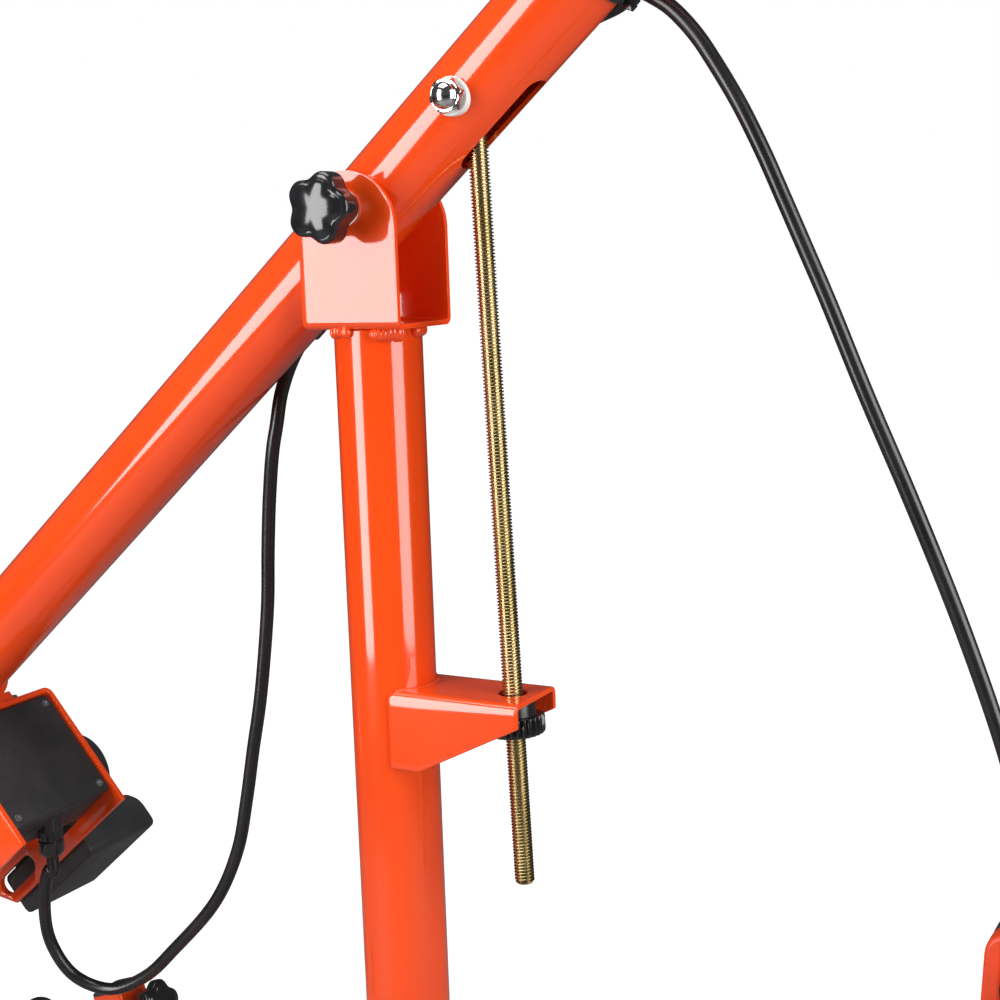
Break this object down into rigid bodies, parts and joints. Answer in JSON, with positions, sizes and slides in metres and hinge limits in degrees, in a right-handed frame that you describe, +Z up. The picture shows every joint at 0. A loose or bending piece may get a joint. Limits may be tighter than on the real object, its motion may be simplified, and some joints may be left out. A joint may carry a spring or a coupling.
{
  "type": "portable luffing jib crane",
  "caption": "Portable jib crane: round mast on a folding wheeled base, pivoting boom set by a threaded rod and hand wheel, electric hoist, hook and pendant.",
  "frame": {"origin": "on the floor, under the mast axis, at the underside of the centre foot", "axes": "+Z up along the mast; the boom swings in the XZ plane with its load arm towards -X and its tail towards +X; +Y is the boom's cable side"},
  "size_m": [1.0123, 0.3952, 1.2903],
  "materials": {
    "orange_paint": "glossy powder coat",
    "black_plastic": "glossy moulded",
    "black_matte": "fine textured",
    "white_nylon": "translucent satin",
    "yellow_zinc": "yellow passivated zinc",
    "stainless": "polished",
    "zinc": "bright zinc",
    "rubber": "matte",
    "cast_iron": "painted casting",
    "cable": "glossy sheath",
    "rope": "wire rope",
    "grey_cast": "die cast",
    "red_plastic": "glossy",
    "orange_plastic": "satin moulded"
  },
  "bodies": {
    "base": {"base_spine": "orange_paint", "front_crossbar": "orange_paint", "rear_crossbar": "orange_paint", "mast_socket": "orange_paint", "centre_foot": "rubber", "front_foot_left": "rubber", "front_foot_right": "rubber", "counterweight": "cast_iron", "wheel_axle": "zinc", "leg_pin_left": "zinc", "leg_pin_right": "zinc"},
    "weight_knob": {"weight_knob": "black_plastic"},
    "leg_lock_knob_left": {"leg_lock_knob_left": "black_plastic"},
    "leg_lock_knob_right": {"leg_lock_knob_right": "black_plastic"},
    "mast_clamp_knob": {"mast_clamp_knob": "black_plastic"},
    "transport_wheel_left": {"transport_wheel_left": "rubber"},
    "transport_wheel_right": {"transport_wheel_right": "rubber"},
    "front_leg_left": {"front_leg_left": "orange_paint"},
    "front_leg_right": {"front_leg_right": "orange_paint"},
    "levelling_foot_left": {"levelling_foot_left": "black_plastic"},
    "levelling_foot_right": {"levelling_foot_right": "black_plastic"},
    "mast": {"mast_tube": "orange_paint", "clevis": "orange_paint", "screw_bracket": "orange_paint", "pivot_bolt": "zinc", "pivot_cap": "black_plastic", "pivot_washer_front": "white_nylon"},
    "star_knob": {"star_knob": "black_plastic"},
    "luff_wheel": {"luff_wheel": "black_plastic"},
    "luff_rod": {"luff_rod": "yellow_zinc"},
    "boom": {"boom_tube": "orange_paint", "cross_bolt": "stainless", "dome_nut": "stainless", "cross_washer": "white_nylon", "tip_bracket": "orange_paint", "sheave_bolt": "zinc", "hoist_frame": "orange_paint", "hoist_motor": "black_matte", "hoist_gearbox": "grey_cast", "hoist_controller": "black_matte", "cable_gland": "black_plastic", "rope_run": "rope", "cable_run": "cable", "cable_clip": "black_matte", "cable_tie": "black_matte", "cable_loop": "cable"},
    "hoist_battery": {"hoist_battery": "black_matte"},
    "rope_drum": {"rope_drum": "grey_cast"},
    "tip_sheave": {"tip_sheave": "grey_cast"},
    "rope_fall": {"rope_fall": "rope"},
    "hook_block": {"hook_ferrule": "black_matte"},
    "hook": {"hook": "orange_paint"},
    "hook_latch": {"hook_latch": "zinc"},
    "pendant": {"cable_drop": "cable", "pendant_gland": "black_plastic", "pendant_front": "orange_plastic", "pendant_back": "black_matte"},
    "stop_button": {"stop_button": "red_plastic"},
    "up_button": {"up_button": "white_nylon"},
    "down_button": {"down_button": "black_plastic"}
  },
  "joints": [
    {"name": "mast_slew", "type": "hinge", "parent": "base", "child": "mast", "pos_m": [0, 0, 0.08], "axis": [0, 0, 1], "range_deg": [-170, 170]},
    {"name": "boom_luff", "type": "hinge", "parent": "mast", "child": "boom", "pos_m": [0, 0, 1.01], "axis": [0, 1, 0], "range_deg": [0, 75]},
    {"name": "luff_rod_travel", "type": "slide", "parent": "mast", "child": "luff_rod", "axis": [0.0335, 0, -0.9994], "range_m": [0, 0.10849]},
    {"name": "luff_wheel_turn", "type": "hinge", "parent": "mast", "child": "luff_wheel", "pos_m": [0.0802, 0, 0.7344], "axis": [-0.0335, 0, 0.9994], "continuous": true},
    {"name": "star_knob_turn", "type": "hinge", "parent": "mast", "child": "star_knob", "pos_m": [0, -0.04, 1.01], "axis": [0, -1, 0], "continuous": true},
    {"name": "battery_release", "type": "slide", "parent": "boom", "child": "hoist_battery", "axis": [-0.7576, 0, -0.6528], "range_m": [0, 0.06]},
    {"name": "rope_drum_turn", "type": "hinge", "parent": "boom", "child": "rope_drum", "pos_m": [-0.38233, 0, 0.58816], "axis": [0, 1, 0], "continuous": true},
    {"name": "tip_sheave_turn", "type": "hinge", "parent": "boom", "child": "tip_sheave", "pos_m": [-0.49432, 0, 0.48374], "axis": [0, 1, 0], "continuous": true},
    {"name": "rope_fall_swing", "type": "hinge", "parent": "boom", "child": "rope_fall", "pos_m": [-0.49432, 0, 0.48374], "axis": [0, 1, 0], "range_deg": [-76, 1]},
    {"name": "hook_lift", "type": "slide", "parent": "rope_fall", "child": "hook_block", "axis": [0, 0, -1], "range_m": [0, 0.2], "deforming": ["rope_fall"]},
    {"name": "hook_swivel", "type": "hinge", "parent": "hook_block", "child": "hook", "pos_m": [-0.52232, 0, 0.28604], "axis": [0, 0, 1], "continuous": true},
    {"name": "hook_latch_open", "type": "hinge", "parent": "hook", "child": "hook_latch", "pos_m": [-0.53307, 0, 0.26704], "axis": [0, -1, 0], "range_deg": [0, 28], "stiffness_Nm_per_rad": 0.02, "springref_deg": -8.59},
    {"name": "pendant_swing", "type": "hinge", "parent": "boom", "child": "pendant", "pos_m": [0.183, 0.0218, 1.0982], "axis": [0, 1, 0], "range_deg": [-76, 1]},
    {"name": "stop_press", "type": "slide", "parent": "pendant", "child": "stop_button", "axis": [0, 1, 0], "range_m": [0, 0.003], "stiffness_N_per_m": 400, "springref_m": -0.0008},
    {"name": "up_press", "type": "slide", "parent": "pendant", "child": "up_button", "axis": [0, 1, 0], "range_m": [0, 0.003], "stiffness_N_per_m": 400, "springref_m": -0.0008},
    {"name": "down_press", "type": "slide", "parent": "pendant", "child": "down_button", "axis": [0, 1, 0], "range_m": [0, 0.003], "stiffness_N_per_m": 400, "springref_m": -0.0008},
    {"name": "leg_fold_left", "type": "hinge", "parent": "base", "child": "front_leg_left", "pos_m": [-0.233, -0.12, 0.102], "axis": [0, -1, 0], "range_deg": [0, 70]},
    {"name": "leg_lock_turn_left", "type": "hinge", "parent": "base", "child": "leg_lock_knob_left", "pos_m": [-0.233, -0.15, 0.102], "axis": [0, -1, 0], "continuous": true},
    {"name": "levelling_turn_left", "type": "hinge", "parent": "front_leg_left", "child": "levelling_foot_left", "pos_m": [-0.34176, -0.12, 0.40082], "axis": [0.9397, 0, 0.342], "continuous": true},
    {"name": "transport_wheel_spin_left", "type": "hinge", "parent": "base", "child": "transport_wheel_left", "pos_m": [0.4, -0.172, 0.06], "axis": [0, 1, 0], "continuous": true},
    {"name": "leg_fold_right", "type": "hinge", "parent": "base", "child": "front_leg_right", "pos_m": [-0.233, 0.12, 0.102], "axis": [0, -1, 0], "range_deg": [0, 70]},
    {"name": "leg_lock_turn_right", "type": "hinge", "parent": "base", "child": "leg_lock_knob_right", "pos_m": [-0.233, 0.15, 0.102], "axis": [0, 1, 0], "continuous": true},
    {"name": "levelling_turn_right", "type": "hinge", "parent": "front_leg_right", "child": "levelling_foot_right", "pos_m": [-0.34176, 0.12, 0.40082], "axis": [0.9397, 0, 0.342], "continuous": true},
    {"name": "transport_wheel_spin_right", "type": "hinge", "parent": "base", "child": "transport_wheel_right", "pos_m": [0.4, 0.172, 0.06], "axis": [0, 1, 0], "continuous": true},
    {"name": "mast_clamp_turn", "type": "hinge", "parent": "base", "child": "mast_clamp_knob", "pos_m": [0, -0.05, 0.2], "axis": [0, -1, 0], "continuous": true},
    {"name": "weight_knob_turn", "type": "hinge", "parent": "base", "child": "weight_knob", "pos_m": [0.285, 0, 0.16], "axis": [0, 0, 1], "continuous": true}
  ],
  "couplings": [
    {"joint": "luff_rod_travel", "follows": "boom_luff", "m_per_rad": 0.082573},
    {"joint": "rope_fall_swing", "follows": "boom_luff", "ratio": -1},
    {"joint": "pendant_swing", "follows": "boom_luff", "ratio": -1}
  ]
}
